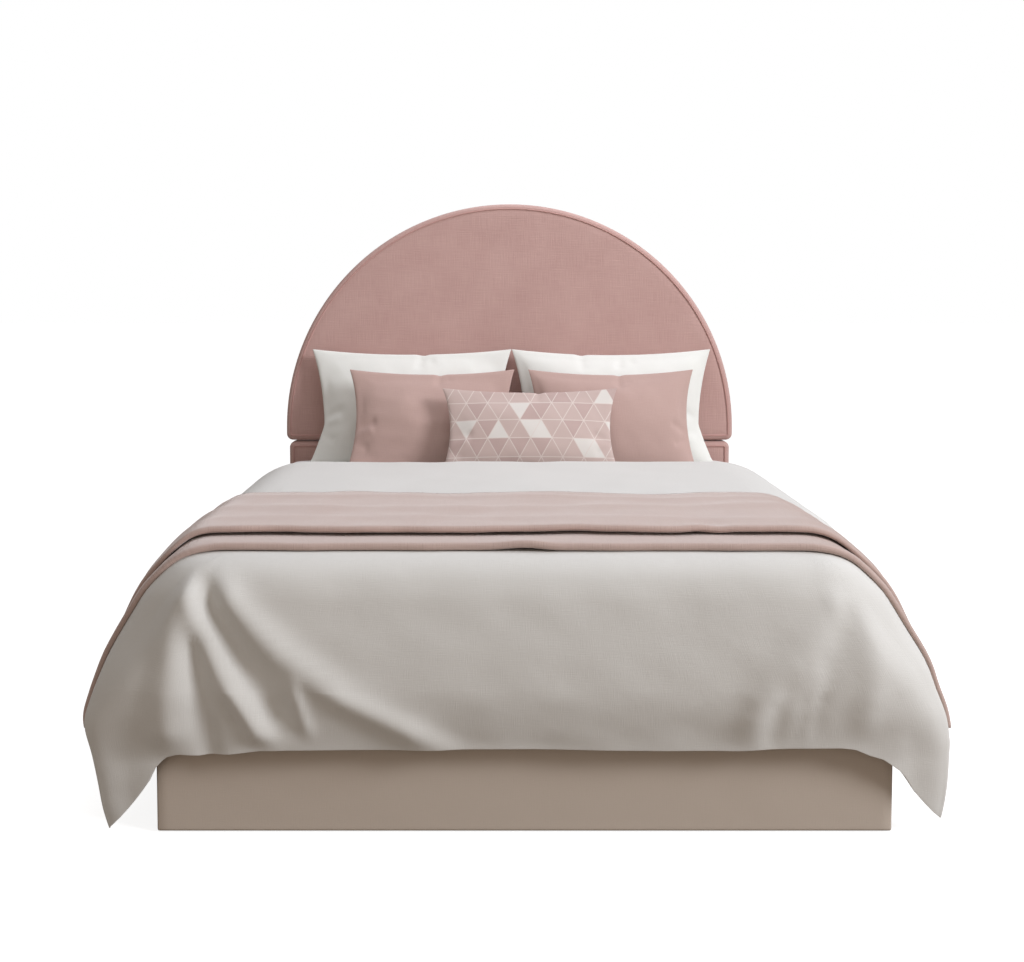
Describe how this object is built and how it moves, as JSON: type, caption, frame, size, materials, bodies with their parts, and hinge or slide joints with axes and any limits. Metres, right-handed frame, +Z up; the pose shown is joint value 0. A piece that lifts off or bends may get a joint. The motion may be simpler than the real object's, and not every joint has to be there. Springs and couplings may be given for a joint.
{
  "type": "upholstered bed",
  "caption": "Double bed with a floor-length upholstered base, a half-round two-panel headboard and dressed bedding: duvet, folded throw, pillows and cushions.",
  "frame": {"origin": "floor level, under the middle of the whole outline in plan", "axes": "+X to the right as seen from the foot end, +Y towards the headboard, +Z up"},
  "size_m": [1.9284, 2.228, 1.446],
  "materials": {
    "duvet_cotton": "matte",
    "throw_knit": "matte",
    "pillow_cotton": "matte",
    "cushion_linen": "matte",
    "lumbar_print": "matte",
    "sheet_cotton": "matte",
    "mattress_ticking": "matte",
    "mattress_tape": "matte",
    "headboard_cloth": "matte",
    "headboard_welt": "matte",
    "dust_cloth": "matte",
    "foam": "matte",
    "panel_board": "matte",
    "base_cloth": "matte",
    "rail_board": "matte",
    "sawn_pine": "matte",
    "webbing": "matte",
    "planed_pine": "matte",
    "bracket_steel": "satin",
    "zinc_fixings": "satin",
    "leg_plastic": "matte",
    "glide_plastic": "matte"
  },
  "bodies": {
    "root": {"beam_hangers": "bracket_steel", "centre_beam": "sawn_pine", "centre_leg_foot": "leg_plastic", "centre_leg_head": "leg_plastic", "centre_leg_middle": "leg_plastic", "corner_bolts": "zinc_fixings", "corner_bracket_foot_left": "bracket_steel", "corner_bracket_foot_right": "bracket_steel", "corner_bracket_head_left": "bracket_steel", "corner_bracket_head_right": "bracket_steel", "cushion_left": "cushion_linen", "cushion_right": "cushion_linen", "dome_back_cloth": "dust_cloth", "dome_board": "panel_board", "dome_cover": "headboard_cloth", "dome_foam": "foam", "dome_welt": "headboard_welt", "duvet": "duvet_cotton", "fitted_sheet": "sheet_cotton", "foot_cover": "base_cloth", "foot_rail": "rail_board", "glides": "glide_plastic", "head_rail": "rail_board", "headboard_bolts": "zinc_fixings", "headboard_strut_left": "sawn_pine", "headboard_strut_right": "sawn_pine", "lower_panel_back_cloth": "dust_cloth", "lower_panel_board": "panel_board", "lower_panel_cover": "headboard_cloth", "lower_panel_foam": "foam", "lower_panel_welt": "headboard_welt", "lumbar_cushion": "lumbar_print", "mattress": "mattress_ticking", "mattress_tapes": "mattress_tape", "pillow_left": "pillow_cotton", "pillow_right": "pillow_cotton", "side_cover_left": "base_cloth", "side_cover_right": "base_cloth", "side_rail_left": "rail_board", "side_rail_right": "rail_board", "slat_01": "planed_pine", "slat_02": "planed_pine", "slat_03": "planed_pine", "slat_04": "planed_pine", "slat_05": "planed_pine", "slat_06": "planed_pine", "slat_07": "planed_pine", "slat_08": "planed_pine", "slat_09": "planed_pine", "slat_10": "planed_pine", "slat_11": "planed_pine", "slat_12": "planed_pine", "slat_ledge_left": "sawn_pine", "slat_ledge_right": "sawn_pine", "slat_strap_left": "webbing", "slat_strap_right": "webbing", "strut_screws": "zinc_fixings", "throw": "throw_knit"}
  },
  "joints": []
}
